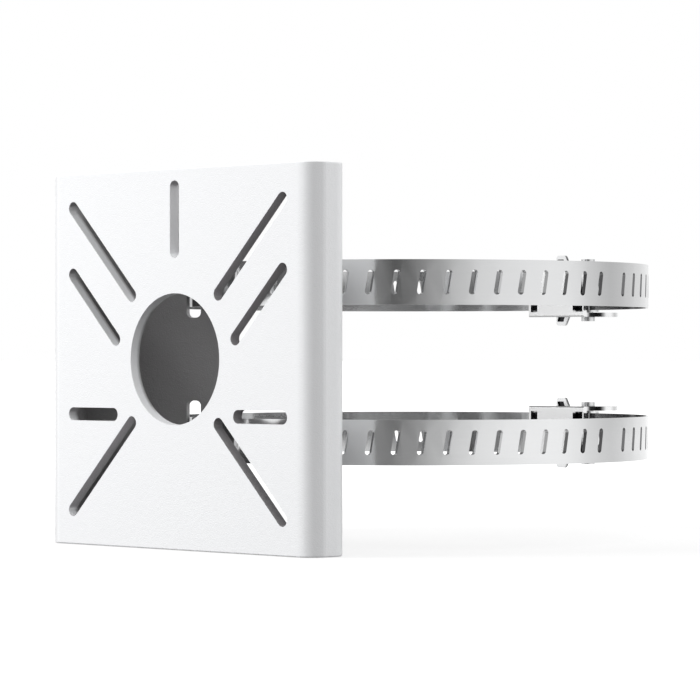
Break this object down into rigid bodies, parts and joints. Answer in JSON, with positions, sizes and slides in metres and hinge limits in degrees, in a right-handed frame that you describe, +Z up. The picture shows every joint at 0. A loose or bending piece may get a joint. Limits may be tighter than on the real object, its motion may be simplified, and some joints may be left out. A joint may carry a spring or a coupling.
{
  "type": "camera bracket",
  "caption": "Folded sheet bracket that holds a security camera on a pole: a slotted face with a cable hole, wings at the back, and perforated band clamps with swing-open worm buckles.",
  "frame": {"origin": "centre of the cable hole, on the front face that the camera's base is screwed to", "axes": "+X to the right as seen from the front, +Y back from the face towards the pole, +Z up along the pole"},
  "size_m": [0.1722, 0.2172, 0.13],
  "materials": {
    "powder_coat": "white powder coat with a fine grain, satin",
    "band_steel": "rolled stainless strip, bright, faint lines along its length",
    "pressed_steel": "pressed stainless sheet, satin",
    "fastener_steel": "turned steel, polished"
  },
  "bodies": {
    "bracket": {"bracket_body": "powder_coat"},
    "upper_clamp": {"upper_clamp_band": "band_steel", "upper_clamp_saddle": "pressed_steel", "upper_clamp_rivets": "fastener_steel", "upper_clamp_pivot_pin": "fastener_steel"},
    "upper_housing": {"upper_worm_housing": "pressed_steel"},
    "upper_screw": {"upper_worm_screw": "fastener_steel"},
    "lower_clamp": {"lower_clamp_band": "band_steel", "lower_clamp_saddle": "pressed_steel", "lower_clamp_rivets": "fastener_steel", "lower_clamp_pivot_pin": "fastener_steel"},
    "lower_housing": {"lower_worm_housing": "pressed_steel"},
    "lower_screw": {"lower_worm_screw": "fastener_steel"}
  },
  "joints": [
    {"name": "upper_clamp_slide", "type": "slide", "parent": "bracket", "child": "upper_clamp", "axis": [0, 0, 1], "range_m": [-0.0027, 0.0047]},
    {"name": "upper_housing_swing", "type": "hinge", "parent": "upper_clamp", "child": "upper_housing", "pos_m": [0.0064, 0.20785, 0.0263], "axis": [0, 0, -1], "range_deg": [0, 90]},
    {"name": "upper_screw_turn", "type": "hinge", "parent": "upper_housing", "child": "upper_screw", "pos_m": [0, 0.20785, 0.0263], "axis": [1, 0, 0], "continuous": true},
    {"name": "lower_clamp_slide", "type": "slide", "parent": "bracket", "child": "lower_clamp", "axis": [0, 0, 1], "range_m": [-0.0027, 0.0047]},
    {"name": "lower_housing_swing", "type": "hinge", "parent": "lower_clamp", "child": "lower_housing", "pos_m": [0.0064, 0.20785, -0.0284], "axis": [0, 0, -1], "range_deg": [0, 90]},
    {"name": "lower_screw_turn", "type": "hinge", "parent": "lower_housing", "child": "lower_screw", "pos_m": [0, 0.20785, -0.0284], "axis": [1, 0, 0], "continuous": true}
  ]
}
